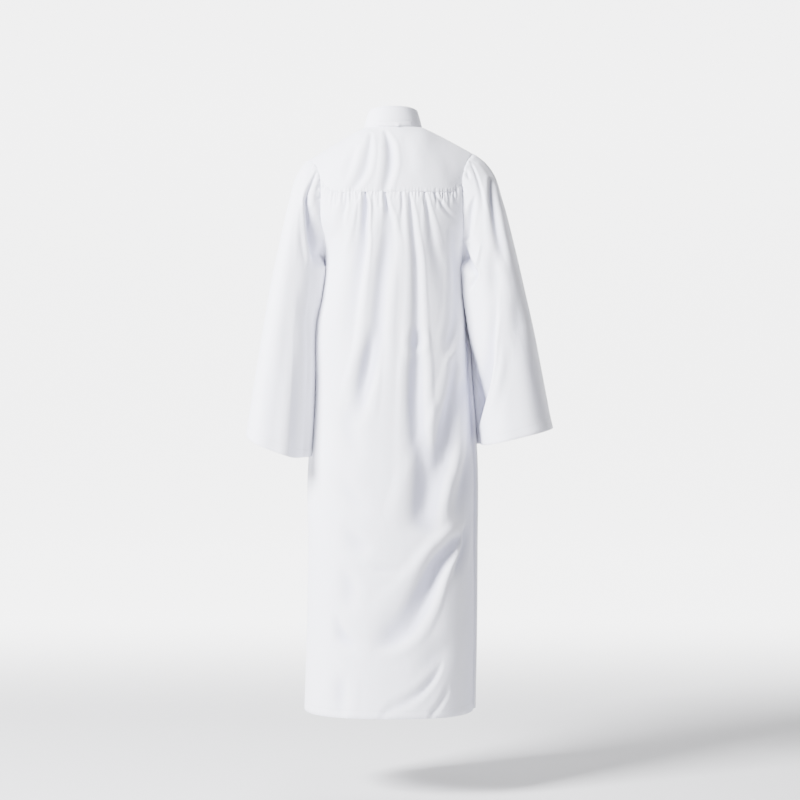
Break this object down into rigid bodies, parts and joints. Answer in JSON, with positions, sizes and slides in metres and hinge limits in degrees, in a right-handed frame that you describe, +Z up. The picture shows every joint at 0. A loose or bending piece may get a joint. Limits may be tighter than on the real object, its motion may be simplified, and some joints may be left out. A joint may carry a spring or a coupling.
{
  "type": "baptism robe",
  "caption": "Ankle-length white robe in its worn, hollow form, with a yoke and gathered back, bell sleeves, a stand collar and a front zip.",
  "frame": {"origin": "between the shoulders, at the level of the seam where the collar meets the yoke at the nape", "axes": "+Z up, the robe's front faces -Y and its wearer's left is +X"},
  "size_m": [0.7105, 0.3324, 1.3975],
  "materials": {
    "cloth": "matte white woven polyester",
    "zip_tape": "white woven tape",
    "zip_metal": "plated, satin"
  },
  "bodies": {
    "robe": {"back_yoke": "cloth", "back_panel": "cloth", "front_panel_left": "cloth", "front_panel_right": "cloth", "sleeve_left": "cloth", "sleeve_right": "cloth", "collar": "cloth", "nape_strip": "cloth", "zip_tape": "zip_tape", "zip_slider": "zip_metal"},
    "zip_pull_tab": {"zip_pull": "zip_metal"}
  },
  "joints": [
    {"name": "zip_pull_swing", "type": "hinge", "parent": "robe", "child": "zip_pull_tab", "pos_m": [0, -0.09217, -0.07104], "axis": [-1, 0, 0], "range_deg": [0, 150]}
  ]
}
